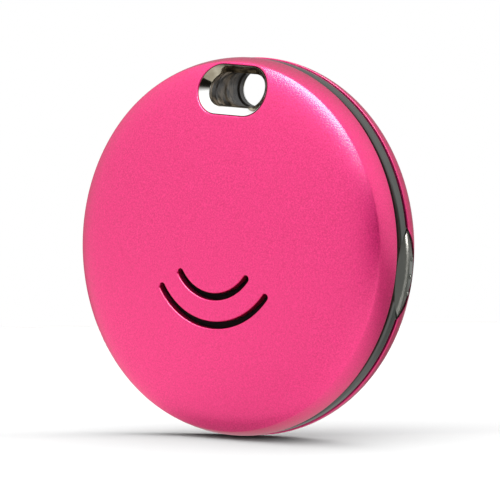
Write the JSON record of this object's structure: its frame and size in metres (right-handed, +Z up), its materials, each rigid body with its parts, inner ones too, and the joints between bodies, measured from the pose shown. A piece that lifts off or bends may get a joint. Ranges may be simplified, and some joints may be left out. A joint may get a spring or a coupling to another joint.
{
  "type": "bluetooth tracker tag",
  "caption": "Round anodised tracker tag in two covers with a key-ring bore, sound slots, a side button and a coin cell behind a snap-off back.",
  "frame": {"origin": "middle of the key-ring bore, half way through the case", "axes": "+Z up towards the rim over the bore, front face towards -Y, side button towards +X"},
  "size_m": [0.036, 0.0085, 0.036],
  "materials": {
    "anodised_pink": "bead-blasted satin anodised aluminium",
    "bright_metal": "polished bright plating",
    "dark_gloss_plastic": "dark grey-green moulded plastic, glossy",
    "button_plastic": "grey-green moulded plastic, semi-gloss",
    "inner_plastic": "black glass-filled plastic",
    "plunger_plastic": "ivory plastic",
    "seal_rubber": "black silicone and foam",
    "adhesive": "black adhesive tape",
    "board": "green solder mask over laminate",
    "chip_resin": "moulded chip resin",
    "ceramic_body": "fired ceramic",
    "capacitor_body": "ceramic chip with tinned ends",
    "ferrite": "shielded ferrite",
    "plated_steel": "nickel plated",
    "cell_steel": "brushed nickel-plated steel",
    "cell_seal": "blue-grey polypropylene",
    "cell_electrodes": "pressed electrodes, not seen",
    "contact_gold": "gold-plated spring bronze",
    "sounder_brass": "brass diaphragm",
    "mesh": "woven black dust mesh"
  },
  "bodies": {
    "case": {"front_cover": "anodised_pink", "front_bezel": "bright_metal", "frame": "dark_gloss_plastic", "bore_sleeve": "dark_gloss_plastic", "front_adhesive": "adhesive", "door_seal": "seal_rubber", "button_seal": "seal_rubber", "switch_body": "inner_plastic", "circuit_board": "board", "radio_chip": "chip_resin", "crystal": "plated_steel", "chip_antenna": "ceramic_body", "driver_chip": "chip_resin", "inductor": "ferrite", "capacitor_1": "capacitor_body", "capacitor_2": "capacitor_body", "capacitor_3": "capacitor_body", "capacitor_4": "capacitor_body", "board_screw_1": "plated_steel", "board_screw_2": "plated_steel", "board_screw_3": "plated_steel", "battery_cradle": "inner_plastic", "positive_contact": "contact_gold", "negative_contact": "contact_gold", "sounder_carrier": "inner_plastic", "sounder_plate": "sounder_brass", "sounder_ceramic": "ceramic_body", "sounder_gasket": "seal_rubber", "acoustic_mesh": "mesh", "sounder_contact_1": "contact_gold", "sounder_contact_2": "contact_gold"},
    "back": {"back_cover": "anodised_pink", "rear_bezel": "bright_metal", "snap_ring": "inner_plastic"},
    "cell": {"cell_can": "cell_steel", "cell_gasket": "cell_seal", "cell_cap": "cell_steel", "cell_core": "cell_electrodes"},
    "button": {"side_button": "button_plastic"},
    "plunger": {"switch_plunger": "plunger_plastic"}
  },
  "joints": [
    {"name": "back_cover_lift", "type": "slide", "parent": "case", "child": "back", "axis": [0, 1, 0], "range_m": [0, 0.014]},
    {"name": "cell_lift", "type": "slide", "parent": "case", "child": "cell", "axis": [0, 1, 0], "range_m": [0, 0.007]},
    {"name": "button_press", "type": "slide", "parent": "case", "child": "button", "axis": [-1, 0, 0], "range_m": [0, 0.0003], "stiffness_N_per_m": 3000},
    {"name": "plunger_press", "type": "slide", "parent": "case", "child": "plunger", "axis": [-1, 0, 0], "range_m": [0, 0.0003]}
  ],
  "couplings": [
    {"joint": "cell_lift", "follows": "back_cover_lift", "ratio": 0.5},
    {"joint": "plunger_press", "follows": "button_press", "ratio": 1}
  ]
}
